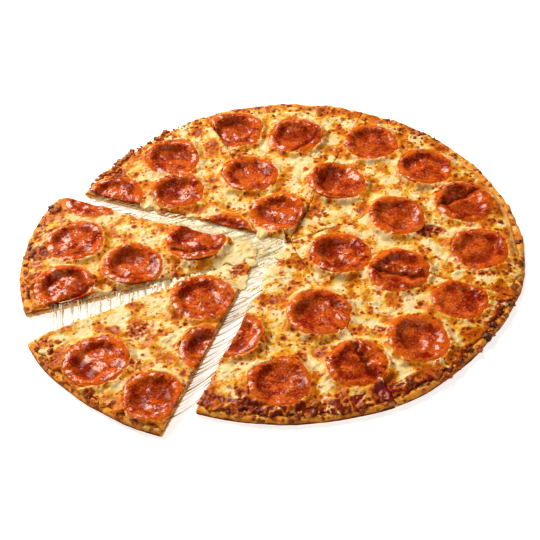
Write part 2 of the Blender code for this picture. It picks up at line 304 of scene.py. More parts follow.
def baked_dough():
    """Golden dough, browned in spots, paler where cut, and dusty brown underneath."""
    material, tree, shader, place = new_material("baked_dough")
    height = add_node(tree, "ShaderNodeSeparateXYZ", {0: place}).outputs[2]
    cloud = noise_at(tree, place, 70.0, 4.0)
    fine = noise_at(tree, place, 420.0, 4.0, 0.65)
    gold = mix_colour(tree, spread(tree, cloud, 0.38, 0.66), rgb(255, 178, 64), rgb(242, 132, 22))
    gold = mix_colour(tree, spread(tree, fine, 0.52, 0.72), gold, rgb(184, 94, 14))
    contour = noise_at(tree, place, 130.0, 5.0, 0.7)
    baked = maths(tree, "MULTIPLY", kept(tree, "rim"), spread(tree, contour, 0.46, 0.38))
    gold = mix_colour(tree, maths(tree, "MULTIPLY", baked, 0.8), gold, rgb(250, 206, 120))
    baked = maths(tree, "MULTIPLY", kept(tree, "rim"), spread(tree, contour, 0.56, 0.66))
    gold = mix_colour(tree, maths(tree, "MULTIPLY", baked, 0.7), gold, rgb(168, 74, 10))
    # The rim's side darkens towards its foot, to a near-black line at the base: partly dough browned
    # where it met the oven, partly painted shade under the bulge of the rim.
    uneven = maths(tree, "MULTIPLY_ADD", maths(tree, "SUBTRACT", contour, 0.5), 0.0030, height)
    gold = mix_colour(tree, spread(tree, uneven, 0.0050, 0.0036), gold, rgb(208, 108, 18))
    gold = mix_colour(tree, spread(tree, uneven, 0.0040, 0.0030), gold, rgb(72, 28, 4))
    crumb = mix_colour(tree, spread(tree, fine, 0.4, 0.7), rgb(226, 176, 100), rgb(176, 112, 44))
    colour = mix_colour(tree, kept(tree, "cut"), gold, crumb)
    stain = maths(tree, "MULTIPLY", kept(tree, "cut"), spread(tree, height, 0.0030, 0.0042))
    colour = mix_colour(tree, maths(tree, "MULTIPLY", stain, 0.75), colour, rgb(150, 48, 18))
    spots = use_group(tree, toasted_spots, place, size=0.0052, cover=0.62, edge=0.22)["Mask"]
    spots = maths(tree, "MULTIPLY", spots, kept(tree, "rim"))
    colour = mix_colour(tree, spots, colour, rgb(146, 66, 22))
    under_cloud = spread(tree, noise_at(tree, place, 38.0, 5.0, 0.7), 0.45, 0.62)
    base = mix_colour(tree, under_cloud, rgb(214, 160, 92), rgb(146, 82, 30))
    colour = mix_colour(tree, kept(tree, "under"), colour, base)
    colour = mix_colour(tree, kept(tree, "char"), colour, rgb(44, 20, 12))
    tree.links.new(colour, shader.inputs["Base Color"])
    rough = spread(tree, fine, 0.3, 0.7, 0.50, 0.78)
    tree.links.new(rough, shader.inputs["Roughness"])
    shader.inputs["Specular IOR Level"].default_value = 0.12
    grain = maths(tree, "ADD", fine, maths(tree, "MULTIPLY", noise_at(tree, place, 1400.0, 2.0), 0.4))
    add_bump(tree, shader, 0.45, 0.0012, grain)
    return material


def crust_relief(number):
    """What the oven did to one slice's dough, as a function of a point on it."""
    middle, apex, _, _ = slice_layout(number)
    sides = cut_sides(number, CRUMB_CLOSED)

    def relief(point, normal):
        flat = point.xy
        inward = PIZZA_RADIUS - (flat - middle).length
        from_cut, outwards, spring = min((-(flat - apex).dot(side), side, back) for side, back in sides)
        cut = ramp(from_cut, 0.0016, 0.0007) * ramp(abs(normal.z), 0.8, 0.5)
        rim = ramp(inward, 0.014, 0.004) * ramp(point.z, 0.0012, 0.0036)
        lumps = noise.noise(point * 110) * 0.6 + noise.noise(point * 260) * 0.4
        blister = max(0.0, noise.noise(point * 170 + Vector((7, 1, 3)))) * rim
        swell = (lumps * 0.6 + blister * 1.5) * MM * max(rim, 0.25 * (1 - cut))
        char = ramp(blister, 0.42, 0.62) * 0.6
        under = ramp(normal.z, -0.55, -0.85)
        flat_base = 1 - ramp(point.z, 0.0018, 0.0002)
        moved = point + normal * swell * flat_base
        moved += normal * cut * noise.noise(point * 900) * 0.35 * MM * flat_base * (spring == 0)
        moved += Vector((outwards.x, outwards.y, 0)) * spring * ramp(from_cut, 0.0014, 0.0)
        shift = oven_spread(flat, middle, number)
        shift.z *= flat_base
        moved += shift
        moved.z = max(moved.z, 0.0)
        return moved, (rim, cut, under, char)

    return relief


dough = baked_dough()
for number in range(1, 9):
    node = f"crust_slice_{number}"
    crust = fine_copy(node, f"baked_crust_{number}", CRUST_GRAIN)
    apply_all(crust)
    shape(crust, crust_relief(number), ("rim", "cut", "under", "char"))
    dress(crust, dough, "baked_dough", node)


# The cheese. Shredded cheese has melted into one blanket, cream where it pooled and golden where its
# oil came up, and deeper gold in the creases between shreds, partly oil and partly painted shade. Small
# toasted blisters cluster towards the rim. The cut through it has partly run together again. It lies
# low under the pepperoni, and its ragged edge shows the sauce.

CHEESE_GRAIN = 0.75 * MM
CHEESE_RADIUS = PIZZA_RADIUS - 0.0055
CUT_CLOSED = 0.00055  # how far the melted edges creep back over a closed cut
SHEET_TRIM = 0.0006  # how far inside a drawn slice's cuts its cheese is trimmed, to take the sheet off
LOBE_ROOT = 0.0070  # how far in from an open cut the cheese starts to flow out over it
SHORT_RUN, LONG_RUN = (0.090, 0.030), (0.140, 0.100)  # from the tip, where it flows little and most
RIM_TONGUE = 0.0036  # how far the longest tongues of cheese run out over the bare rim
SAUCE_SIDE, BURNT_SIDE, BARE_SIDE = 276, 316, 14  # where round the rim sauce, char and dough show

# Marks that the oven left on the cheese: place in mm from the middle of the cuts, radius in mm, and
# how toasted, how charred and how red with sauce it is
MARKS = (
    (104, 6, 9, 0.6, 0.9, 0.6),
    (112, 4, 6, 0.8, 0.3, 0.3),
    (-110, -88, 10, 0.75, 0.1, 0.1),
    (-62, -153, 9, 0.75, 0.0, 0.35),
    (-36, -160, 7, 0.9, 0.7, 0.5),
    (57, -152, 8, 0.5, 0.1, 1.0),
    (-40, -30, 8, 0.9, 0.25, 0.1),
    (3, -120, 6, 0.9, 0.2, 0.2),
    (60, -97, 6, 0.7, 0.1, 0.1),
    (48, -95, 5, 0.6, 0.1, 0.2),
    (22, 32, 8, 0.6, 0.05, 0.1),
    (-60, 120, 7, 0.6, 0.1, 0.1),
    (-100, 35, 9, 0.5, 0.05, 0.1),
    (-135, 86, 10, 0.9, 0.2, 0.1),
    (98, -92, 6, 0.7, 0.1, 0.1),
    (-35, -150, 6, 0.8, 0.3, 0.2),
    (-188, -4, 9, 1.0, 0.5, 0.2),
    (-181, 46, 6, 0.9, 0.6, 0.1),
    (-180, 20, 5, 0.8, 0.2, 0.1),
    (-186, -30, 6, 0.9, 0.3, 0.1),
    (-171, -62, 5, 0.9, 0.6, 0.1),
)

# The pepperoni, as the cheese lies round it: place from the middle of the cuts, radius and height of
# the curled rim, all in metres, the direction in which it curls most, and the slices that hold it
PEPPERONI = (
    (-0.0400, 0.1370, 0.0230, 0.0032, 80, (2,)),
    (0.0100, 0.1270, 0.0225, 0.0032, 20, (2,)),
    (0.0710, 0.1150, 0.0225, 0.0024, 170, (1,)),
    (0.1120, 0.0800, 0.0225, 0.0029, 190, (1,)),
    (0.1370, 0.0350, 0.0230, 0.0026, 110, (8, 1)),
    (0.1410, -0.0180, 0.0225, 0.0020, 30, (8,)),
    (0.1200, -0.0700, 0.0205, 0.0013, 200, (7,)),
    (0.0860, -0.1080, 0.0220, 0.0029, 140, (7,)),
    (0.0410, -0.1290, 0.0215, 0.0021, 30, (6, 7)),
    (-0.0110, -0.1420, 0.0220, 0.0022, 160, (6,)),
    (-0.0970, -0.1510, 0.0215, 0.0019, 60, (5,)),
    (-0.1370, -0.1170, 0.0230, 0.0021, 50, (5,)),
    (-0.1650, -0.0440, 0.0225, 0.0032, 90, (4,)),
    (-0.1620, 0.0070, 0.0225, 0.0024, 0, (4,)),
    (-0.1520, 0.0580, 0.0220, 0.0002, 250, (4,)),
    (-0.1350, 0.0590, 0.0225, 0.0018, 100, (3,)),
    (-0.0910, 0.1045, 0.0225, 0.0026, 110, (3,)),
    (-0.0850, 0.0612, 0.0205, 0.0029, 150, (3,)),
    (-0.0280, 0.0790, 0.0225, 0.0029, 200, (2, 3)),
    (0.0400, 0.0650, 0.0230, 0.0037, 190, (1, 2)),
    (0.0840, 0.0220, 0.0220, 0.0030, 160, (8, 1)),
    (0.0790, -0.0390, 0.0225, 0.0024, 60, (7, 8)),
    (0.0190, -0.0790, 0.0230, 0.0029, 180, (6, 7)),
    (-0.0430, -0.0970, 0.0220, 0.0029, 20, (6,)),
    (-0.0580, -0.1100, 0.0220, 0.0026, 140, (5,)),
    (-0.0640, -0.0600, 0.0225, 0.0026, 170, (5,)),
    (-0.1160, -0.0220, 0.0225, 0.0032, 170, (4,)),
    (-0.0700, 0.0020, 0.0230, 0.0034, 280, (4,)),
    (-0.0500, 0.0100, 0.0220, 0.0016, 80, (3,)),
    (-0.0070, 0.0310, 0.0215, 0.0032, 20, (2, 3)),
    (0.0370, -0.0190, 0.0230, 0.0032, 200, (7, 8)),
)

DISC_THICKNESS = 0.0012
DISC_MIDDLE = 0.0069  # the height of a flat disc's middle layer
DISC_FLOOR = 0.0057  # the lowest that a fold takes a disc's middle layer
CHEESE_FLOOR = 0.0049  # the lowest that the cheese is pressed under a disc


def disc_outline(disc, heading):
    """How far a disc's edge is from its middle in a flat direction, in radii."""
    around = Vector((heading.x, heading.y, disc[0] * 90))
    return 1 + 0.085 * noise.noise(around * 1.3) + 0.040 * noise.noise(around * 3.5)


def disc_height(disc, x, y):
    """The height of a disc's middle layer: a sunken floor, a steep wall, and a brim that turns down."""
    centre_x, centre_y, radius, cup, rise = disc[:5]
    dx, dy = x - centre_x, y - centre_y
    reach = math.hypot(dx, dy) / radius
    turn = math.atan2(dy, dx) - math.radians(rise)
    lean = 1 + 0.45 * math.cos(turn) + 0.22 * math.cos(3 * turn + centre_x * 90)
    heading = Vector((math.cos(turn), math.sin(turn), centre_x * 90))
    inner = 0.53 + 0.16 * noise.noise(heading)
    wall = ramp(reach, inner, inner + 0.27)
    curl = (cup * lean + 0.0006) * (0.80 * wall + 0.20 * reach**4)
    return DISC_MIDDLE + curl - 0.0008 * ramp(reach, 0.86, 1.0)


def blister(place, size, cover, seed):
    """A toasted bubble at the place, 0 to 1: cells of that size, of which a share has one."""
    where = place / size + Vector((seed, seed * 1.7, 0))
    distances, points = noise.voronoi(where)
    pick = noise.cell(points[0] * 13.7 + Vector((5.1, 2.3, 0)))
    if pick > cover:
        return 0.0, 0.0
    reach = 0.22 + 0.30 * noise.cell(points[0] * 7.1)
    inside = max(0.0, 1 - (distances[0] / reach) ** 2)
    return inside**0.8, 0.5 + 0.5 * pick / max(cover, 1e-3)


def ripple(place, size, seed=(0, 0, 0)):
    """Smooth noise at a place, from about -1 to 1, in waves of about that size."""
    return noise.noise(place / size + Vector(seed))


def melted_shreds(level, near_rim):
    """How the shreds and blisters lift the cheese: the shreds alone, both, and how toasted it is."""
    patch = ripple(level, 0.024)
    shreds = 1 - abs(ripple(level, 0.0068)) * 2.2
    swirl = ripple(level, 0.0105, (3, 9, 0))
    fibres = 1 - abs(ripple(level, 0.0034, (4, 4, 4))) * 2.2
    melt = 0.50 * shreds * (0.6 + 0.4 * patch) + 0.40 * swirl + 0.16 * fibres
    cluster = 0.52 + 0.85 * ripple(level, 0.017, (11, 4, 0)) + 0.42 * near_rim
    small, small_tone = blister(level, 0.0036, cluster, 3.0)
    large, large_tone = blister(level, 0.0068, cluster * 0.8, 8.0)
    toast = max(small * small_tone * 0.85, large * large_tone)
    return melt, melt * 1.5 + 0.8 * small + 1.1 * large, toast


def rim_finish(level, inward, heading, bare_side):
    """How the cheese ends round the rim: its lift, and how toasted, charred, red and bare it is."""
    bare = ripple(level, 0.0085, (0, 6, 2))
    lumps = ripple(level, 0.0032, (6, 1, 0))
    patchy = bare + 0.7 * lumps
    saucy = ramp(inward, 0.0125, 0.0070) * ramp(heading.dot(direction(SAUCE_SIDE)), 0.80, 0.96)
    burnt = ramp(heading.dot(direction(BURNT_SIDE)), 0.90, 0.97)
    toast = burnt * ramp(inward + 0.003 * bare, 0.0075, 0.0030) * ramp(lumps, -0.5, 0.1)
    toast = max(toast, 0.85 * saucy * ramp(patchy, 0.20, -0.25))
    char = 0.7 * burnt * ramp(inward, 0.0050, 0.0012) * ramp(lumps, -0.25, 0.15)
    sauce = saucy * ramp(patchy, 0.14, 0.32)
    strip = bare_side * ramp(inward + 0.0022 * bare, 0.0036, 0.0026)
    return -saucy * 1.5 * lumps, toast, char, sauce, strip


def oven_marks(level, flat):
    """What the marks do to a place: its lift, and how toasted, charred and red they make it."""
    lift = toast = char = sauce = 0.0
    for x, y, radius, brown, black, red in MARKS:
        centre = Vector((x, y)) * MM + PIZZA_CENTRE
        away = (flat - centre).length / (radius * MM) * (1 + 0.5 * ripple(level, 0.004))
        if away < 1.3:
            inside = ramp(away, 1.25, 0.55)
            mottled = 0.30 + 0.85 * ramp(ripple(level, 0.0021), -0.3, 0.3)
            toast = max(toast, inside * brown * mottled)
            char = max(char, inside * black * ramp(ripple(level, 0.003), -0.5, 0.3))
            sauce = max(sauce, inside * red)
            lift += 0.8 * inside * ripple(level, 0.0035)
    return lift, toast, char, sauce


def height_by_disc(level, z, lift, top, disc, offset, to_disc):
    """The cheese's height by a disc: it climbs to the brim, laps over it, and is pressed in below."""
    brim = Vector(disc[:2]) + offset * min(1.0, disc[2] / offset.length)
    middle_layer = disc_height(disc, *brim)
    meet = min(middle_layer + 0.0005 + 0.75 * lift * MM, z + 0.0036)
    reach_out = 0.0058 + 0.0036 * ripple(level, 0.006, (8, 0, 1))
    z += max(0.0, meet - z) * ramp(abs(to_disc), reach_out, 0.0004) * top
    lap = 0.0006 + 0.0016 * max(0.0, ripple(level, 0.005, (2, 0, 6)))
    if to_disc < -lap:
        clear = DISC_THICKNESS / 2 + 0.0002 + 0.0018 * ramp(to_disc, -0.002, -0.006)
        z = max(min(z, middle_layer - clear), CHEESE_FLOOR)
    return z


def edge_shift(level, point, outwards, gap, top, creep):
    """How the cheese moves by a cut: back over a closed one, and down by an open one."""
    slump = ramp(gap, 0.0030, 0.0)
    if creep > 0:
        push = creep * (0.62 + 0.7 * ripple(level, 0.009))
        return Vector((outwards.x, outwards.y, 0)) * push * slump
    push = 0.5 * MM * ripple(point, 0.0022)
    return Vector((outwards.x * push, outwards.y * push, -0.35 * MM * top)) * slump


def lobe_shift(level, point, outwards, gap, run):
    """How a lobe of cheese flows out over an open cut, and how pale it is."""
    lobe = ramp(ripple(level, 0.0095, (5, 0, 2)), -0.15, 0.45)
    flow = lobe * ramp(gap, LOBE_ROOT, 0.0) * ramp(point.z, 0.0050, 0.0064)
    shift = Vector((outwards.x, outwards.y, -0.15)) * flow * (0.0018 + 0.0034 * run)
    return shift, run * ramp(gap, 0.0080, 0.0030) * ramp(lobe, 0.0, 0.5)


def cheese_relief(number):
    """The surface of one slice's cheese, as a function of a point on it."""
    middle, apex, _, _ = slice_layout(number)
    sides = cut_sides(number, CUT_CLOSED)
    discs = [(Vector(d[:2]) + PIZZA_CENTRE, d) for d in PEPPERONI if number in d[5]]
    run_from, run_to = LONG_RUN if number == LEFT - 1 else SHORT_RUN

    def from_edge(near):
        offset, disc = near
        return offset.length - disc[2]

    def relief(point, normal):
        flat = point.xy
        level = Vector((flat.x, flat.y, 0.013 * number))
        top = ramp(normal.z, 0.0, 0.6)
        offset, disc = min(((flat - centre, disc) for centre, disc in discs), key=from_edge)
        to_disc = offset.length - disc[2] * disc_outline(disc, offset.normalized())
        inward = CHEESE_RADIUS - (flat - middle).length
        near_rim = ramp(inward, 0.022, 0.002)
        heading = (flat - PIZZA_CENTRE).normalized()
        bare_side = ramp(heading.dot(direction(BARE_SIDE)), 0.90, 0.96)

        melt, lift, toast = melted_shreds(level, near_rim)
        by_the_rim = rim_finish(level, inward, heading, bare_side)
        rim_lift, rim_toast, rim_char, rim_sauce, strip = by_the_rim
        mark_lift, mark_toast, mark_char, mark_sauce = oven_marks(level, flat)
        toast = max(toast, rim_toast, mark_toast)
        char = max(rim_char, mark_char)
        sauce = max(rim_sauce, mark_sauce)
        lift = (lift + rim_lift + mark_lift) * (1 - 0.8 * strip)
        # Gold deepens where the shreds lie low: partly oil gathered in the creases, partly painted
        # shade.
        gold = 0.62 + 0.90 * ripple(level, 0.013, (1, 2, 5)) + 0.22 * near_rim - 0.55 * melt
        oil = ramp(to_disc, 0.0065, 0.0008) * (0.80 + 1.1 * ripple(level, 0.007))
        oil = max(oil, 0.95 * ramp(to_disc, 0.0019, 0.0004))

        open_air = ramp(to_disc, -0.0035, 0.0005)
        moved = point + Vector((0, 0, lift * 0.85 * MM * top * open_air))
        if to_disc < 0.009 and top > 0:
            moved.z = height_by_disc(level, moved.z, lift, top, disc, offset, to_disc)
        from_tip = (flat - apex).length
        pale = ramp(from_tip, 0.050, 0.026) * (number == LEFT)
        for outwards, creep in sides:
            gap = -(flat - apex).dot(outwards)
            moved += edge_shift(level, point, outwards, gap, top, creep)
            if creep == 0 and gap < LOBE_ROOT:
                run = ramp(from_tip, run_from, run_to)
                shift, lobe_pale = lobe_shift(level, point, outwards, gap, run)
                moved += shift
                pale = max(pale, lobe_pale)
        toast, gold, oil = toast * (1 - pale), gold - 0.75 * pale, oil * (1 - pale)

        ragged = ramp(inward, 0.006, 0.0)
        moved.z += top * ragged * 0.9 * MM * max(0.0, ripple(level, 0.0042))
        tongue = ramp(ripple(level, 0.0075, (9, 2, 4)), -0.25, 0.45) * (1 - bare_side)
        run_out = (flat - middle).normalized() * RIM_TONGUE * tongue * ragged
        moved += Vector((run_out.x, run_out.y, 0)) + oven_spread(flat, middle, number)
        return moved, (toast, gold, oil, char, sauce, strip)

    return relief


def let_light_in(shader, share, reach, scale):
    """Lets that share of the light under the surface, each colour as far as its own reach."""
    shader.inputs["Subsurface Weight"].default_value = share
    shader.inputs["Subsurface Radius"].default_value = reach
    shader.inputs["Subsurface Scale"].default_value = scale


def melted_cheese():
    """Cream cheese that turns golden, then brown, with a film of oil."""
    material, tree, shader, place = new_material("melted_cheese")
    fine = noise_at(tree, place, 900.0, 3.0, 0.6)
    cloud = noise_at(tree, place, 120.0, 4.0, 0.6)
    speck = noise_at(tree, place, 330.0, 3.0, 0.7)
    contour = noise_at(tree, place, 115.0, 5.0, 0.72)
    cream = mix_colour(tree, spread(tree, cloud, 0.40, 0.62), rgb(252, 230, 176), rgb(242, 208, 132))
    # The kept gold holds painted shade in the creases as well as the oil's gold.
    warmth = maths(tree, "MULTIPLY_ADD", maths(tree, "SUBTRACT", contour, 0.5), 1.9, kept(tree, "gold"))
    warmth = maths(tree, "MULTIPLY_ADD", maths(tree, "SUBTRACT", speck, 0.5), 0.5, warmth)
    colour = mix_colour(tree, spread(tree, warmth, 0.30, 0.56), cream, rgb(242, 188, 58))
    colour = mix_colour(tree, spread(tree, warmth, 0.54, 0.84), colour, rgb(212, 116, 4))
    colour = mix_colour(tree, spread(tree, warmth, 0.92, 1.20), colour, rgb(172, 64, 2))
    oil = maths(tree, "MULTIPLY", kept(tree, "oil"), spread(tree, speck, 0.35, 0.6), clamp=True)
    colour = mix_colour(tree, maths(tree, "MULTIPLY", oil, 0.75), colour, rgb(226, 124, 8))
    for size, cover in ((0.0027, 0.51), (0.0044, 0.58), (0.0070, 0.53)):
        spots = use_group(tree, toasted_spots, place, size=size, cover=cover, edge=0.26)["Mask"]
        spots = maths(tree, "MULTIPLY", spots, spread(tree, warmth, 0.10, 0.60))
        colour = mix_colour(tree, spread(tree, spots, 0.0, 0.42), colour, rgb(218, 112, 6))
        colour = mix_colour(tree, spread(tree, spots, 0.45, 1.0), colour, rgb(138, 42, 2))
    toast = maths(tree, "ADD", kept(tree, "toast"), maths(tree, "MULTIPLY", fine, 0.25))
    colour = mix_colour(tree, spread(tree, toast, 0.20, 0.55), colour, rgb(206, 96, 10))
    colour = mix_colour(tree, spread(tree, toast, 0.50, 0.95), colour, rgb(122, 36, 4))
    sauce = maths(tree, "ADD", kept(tree, "sauce"), maths(tree, "SUBTRACT", cloud, 0.5))
    colour = mix_colour(tree, spread(tree, sauce, 0.35, 0.75), colour, rgb(138, 26, 4))
    colour = mix_colour(tree, spread(tree, kept(tree, "char"), 0.25, 0.9), colour, rgb(52, 12, 8))
    bare = mix_colour(tree, spread(tree, contour, 0.42, 0.60), rgb(244, 184, 106), rgb(222, 146, 66))
    colour = mix_colour(tree, kept(tree, "strip"), colour, bare)
    tree.links.new(colour, shader.inputs["Base Color"])
    rough = maths(tree, "MAXIMUM", spread(tree, speck, 0.35, 0.65, 0.28, 0.52), kept(tree, "strip"))
    tree.links.new(rough, shader.inputs["Roughness"])
    shader.inputs["Specular IOR Level"].default_value = 0.08
    oily, saucy = spread(tree, cloud, 0.48, 0.62, 0.0, 0.38), spread(tree, sauce, 0.4, 0.9, 0.0, 0.55)
    coat = maths(tree, "MAXIMUM", oily, saucy)
    dry = maths(tree, "MAXIMUM", kept(tree, "strip"), kept(tree, "char"))
    coat = maths(tree, "SUBTRACT", coat, dry, clamp=True)
    tree.links.new(coat, shader.inputs["Coat Weight"])
    shader.inputs["Coat Roughness"].default_value = 0.22
    let_light_in(shader, 0.18, (1.0, 0.62, 0.30), 0.0022)
    grain = maths(tree, "ADD", maths(tree, "MULTIPLY", fine, 0.5), speck)
    grain = maths(tree, "ADD", grain, maths(tree, "MULTIPLY", contour, 1.5))
    add_bump(tree, shader, 0.40, 0.0014, grain)
    return material


def trim_to_slice(piece, number, inside):
    """Trims a piece along a slice's two cut sides, that far inside them, and closes the cuts."""
    _, apex, start, end = slice_layout(number)
    only(piece)
    bpy.ops.object.mode_set(mode="EDIT")
    for degrees, is_end in ((start, False), (end, True)):
        outwards = out_of_cut(degrees, is_end)
        point = apex - outwards * inside
        bpy.ops.mesh.select_all(action="SELECT")
        bpy.ops.mesh.bisect(
            plane_co=(point.x, point.y, 0),
            plane_no=(outwards.x, outwards.y, 0),
            use_fill=True,
            clear_outer=True,
        )
    bpy.ops.object.mode_set(mode="OBJECT")


cheese_finish = melted_cheese()
for number in range(1, 9):
    node = f"cheese_slice_{number}"
    cheese = fine_copy(node, f"melted_cheese_{number}", CHEESE_GRAIN)
    if number in DRAWN:
        trim_to_slice(cheese, number, SHEET_TRIM)
    apply_all(cheese)
    shape(cheese, cheese_relief(number), ("toast", "gold", "oil", "char", "sauce", "strip"))
    dress(cheese, cheese_finish, "melted_cheese", node)


# The stretched cheese. Where the two slices were drawn out, the melted cheese between them and the
# rest has pulled into pale sheets near the tips, torn by a few holes, and further out into fine
# strings. Every string starts and ends in the cheese on either side, and sags a little between.

SHEET_THICKNESS = 0.00045
SHEET_HEIGHT = 0.0066
ANCHOR = 0.0022  # how far the ends reach into the cheese
HOLE_LENGTH = 0.0075  # of the long holes, along the pull
HOLES_PER_POINT = 10  # in a sheet, from one of its path's points to the next


def edge_length(number, is_end):
    """How far a slice's apex is from the rim along one of its cut edges."""
    middle, apex, start, end = slice_layout(number)
    along = direction(end if is_end else start)
    offset = apex - middle
    reach = along.dot(offset)
    return -reach + math.sqrt(reach**2 - offset.length_squared + PIZZA_RADIUS**2)


def edge_point(number, is_end, inward, inside=ANCHOR):
    """A point that far in from the rim along a slice's cut edge, and that far inside the slice."""
    _, apex, start, end = slice_layout(number)
    degrees = end if is_end else start
    distance = edge_length(number, is_end) - inward * MM
    return apex + direction(degrees) * distance - out_of_cut(degrees, is_end) * inside


def tip_point(number, back):
    """A point on a slice's middle line, that far back from where its cut edges meet."""
    _, apex, start, end = slice_layout(number)
    return apex + direction((start + end) / 2) * back * MM


def along_path(points, share):
    """The point that far along a path of evenly numbered points."""
    step = share * (len(points) - 1)
    first = min(int(step), len(points) - 2)
    return points[first].lerp(points[first + 1], step - first)


def along_values(values, share):
    """The value that far along a row of evenly spaced ones."""
    step = share * (len(values) - 1)
    first = min(int(step), len(values) - 2)
    return values[first] + (values[first + 1] - values[first]) * (step - first)


def stretched_sheet(name, one_side, other_side, tears, size, sag):
    """A thin torn sheet of cheese between two paths, drawn into folds and long holes across the gap."""
    bpy.ops.object.select_all(action="DESELECT")
    bpy.ops.mesh.primitive_grid_add(x_subdivisions=size[0], y_subdivisions=size[1], size=1.0)
    sheet = bpy.context.object
    sheet.name = name
    torn = []
    for vertex in sheet.data.vertices:
        along, across = vertex.co.x + 0.5, vertex.co.y + 0.5
        slide = 0.006 * noise.noise(Vector((along * 24, across * 2.5, 9)))
        start = along_path(one_side, along)
        end = along_path(other_side, min(1.0, max(0.0, along + slide)))
        place = start.lerp(end, across)
        width = (end - start).length
        cell = Vector((along * len(one_side) * HOLES_PER_POINT, across * width / HOLE_LENGTH, 3))
        cell.x += 0.35 * noise.noise(Vector((place.x, place.y, 0)) / 0.004)
        belly = 4 * across * (1 - across)
        if noise.voronoi(cell)[0][0] < along_values(tears, along) * min(1.0, belly * 2.2):
            torn.append(vertex.index)
        fold = noise.noise(Vector((along * 36, across * 1.2, 1)))
        fine = noise.noise(Vector((along * 130, across * 2.0, 5)))
        height = SHEET_HEIGHT - sag * belly + (0.9 * fold + 0.3 * fine) * MM * (0.35 + belly)
        vertex.co = (place.x, place.y, height)
    only(sheet)
    bpy.ops.object.mode_set(mode="EDIT")
    bpy.ops.mesh.select_all(action="DESELECT")
    bpy.ops.object.mode_set(mode="OBJECT")
    for index in torn:
        sheet.data.vertices[index].select = True
    bpy.ops.object.mode_set(mode="EDIT")
    bpy.ops.mesh.delete(type="VERT")
    bpy.ops.mesh.select_all(action="SELECT")
    bpy.ops.mesh.normals_make_consistent(inside=False)
    bpy.ops.object.mode_set(mode="OBJECT")
    thick = sheet.modifiers.new("thickness", "SOLIDIFY")
    thick.thickness = SHEET_THICKNESS
    thick.offset = 0
    rounded = sheet.modifiers.new("rounded", "SUBSURF")
    rounded.levels = rounded.render_levels = 1
    apply_all(sheet)
    sheet.data.shade_smooth()
    return sheet


def cheese_strings(name, one, other, near, far, count, thickness, seed):
    """Fine strings across a gap: each a curve that thins and sags towards its middle."""
    rng = random.Random(seed)
    curve = bpy.data.curves.new(name, "CURVE")
    curve.dimensions = "3D"
    curve.bevel_depth = thickness
    curve.bevel_resolution = 1
    curve.use_fill_caps = True
    curve.resolution_u = curve.render_resolution_u = 3
    for _ in range(count):
        inward = rng.uniform(near, far)
        start = edge_point(*one, inward, 0.0012)
        end = edge_point(*other, inward + rng.gauss(0, 1.6), 0.0012)
        top, foot = rng.uniform(0.0048, 0.0072), rng.uniform(0.0048, 0.0072)
        sag = rng.uniform(0.0003, 0.0032)
        body = rng.uniform(0.45, 1.6) ** 1.8
        sway = Vector((rng.gauss(0, 0.5), rng.gauss(0, 0.5))) * MM
        spline = curve.splines.new("NURBS")
        spline.points.add(5)
        spline.use_endpoint_u = True
        spline.order_u = 3
        for index, point in enumerate(spline.points):
            share = index / 5
            belly = 4 * share * (1 - share)
            flat = start.lerp(end, share) + sway * belly
            height = top + (foot - top) * share - sag * belly
            point.co = (flat.x, flat.y, max(height, 0.0008), 1)
            point.radius = body * (1.9 - 1.35 * belly)
    strings = new_object(name, curve)
    only(strings)
    bpy.ops.object.convert(target="MESH")
    strings = bpy.context.object
    strings.data.shade_smooth()
    return strings


def pulled_cheese(name, light, deep, dark):
    """Cheese drawn thin: pale, moist and half clear, with darker streaks along the pull."""
    material, tree, shader, place = new_material(name)
    cloud = noise_at(tree, place, 160.0, 3.0, 0.6)
    streak = noise_at(tree, place, 520.0, 2.0, 0.5)
    pale = mix_colour(tree, spread(tree, cloud, 0.40, 0.64), light, deep)
    pale = mix_colour(tree, spread(tree, streak, 0.55, 0.72), pale, dark)
    tree.links.new(pale, shader.inputs["Base Color"])
    rough = spread(tree, streak, 0.35, 0.65, 0.18, 0.40)
    tree.links.new(rough, shader.inputs["Roughness"])
    shader.inputs["Coat Weight"].default_value = 0.3
    shader.inputs["Coat Roughness"].default_value = 0.15
    let_light_in(shader, 0.35, (1.0, 0.85, 0.6), 0.0020)
    add_bump(tree, shader, 0.4, 0.0006, streak)
    return material


pulled = pulled_cheese("pulled_cheese", rgb(242, 228, 194), rgb(210, 190, 144), rgb(152, 128, 82))
# A darker copy of the pulled cheese for the fine strings: its darkness is painted shade.
painted_shade_strings = pulled_cheese("pulled_cheese_painted_shade", rgb(218, 196, 146), rgb(164, 138, 84), rgb(108, 84, 40))
upper_inward = (58, 84, 112, 140, 162)
lower_inward = (158, 138, 115, 90, 64)
corner = [edge_point(3, True, 171, 0.001), edge_point(6, False, 170, 0.001)]
around_tips = stretched_sheet(
    "stretched_cheese_by_the_tips",
    [edge_point(LEFT, False, inward) for inward in upper_inward]
    + [tip_point(LEFT, 15), tip_point(LOWER_LEFT, 5)]
    + [edge_point(LOWER_LEFT, True, inward) for inward in lower_inward],
    [edge_point(3, True, inward) for inward in upper_inward]
    + corner
    + [edge_point(6, False, inward) for inward in lower_inward],
    (0.60, 0.38, 0.16, 0.05, 0.18, 0.28, 0.22, 0.34, 0.46, 0.62, 0.74, 0.88),
    (480, 24),
    0.0014,
)
dress(around_tips, pulled, "melted_cheese")

drawn_inward = (14, 40, 66, 92, 118, 142)
between_drawn = stretched_sheet(
    "stretched_cheese_between_the_drawn_slices",
    [edge_point(LEFT, True, inward) for inward in drawn_inward] + [tip_point(LEFT, 22)],
    [edge_point(LOWER_LEFT, False, inward) for inward in drawn_inward] + [tip_point(LOWER_LEFT, 8)],
    (0.84, 0.72, 0.60, 0.46, 0.28, 0.10, 0.04),
    (300, 24),
    0.0010,
)
dress(between_drawn, pulled, "melted_cheese")

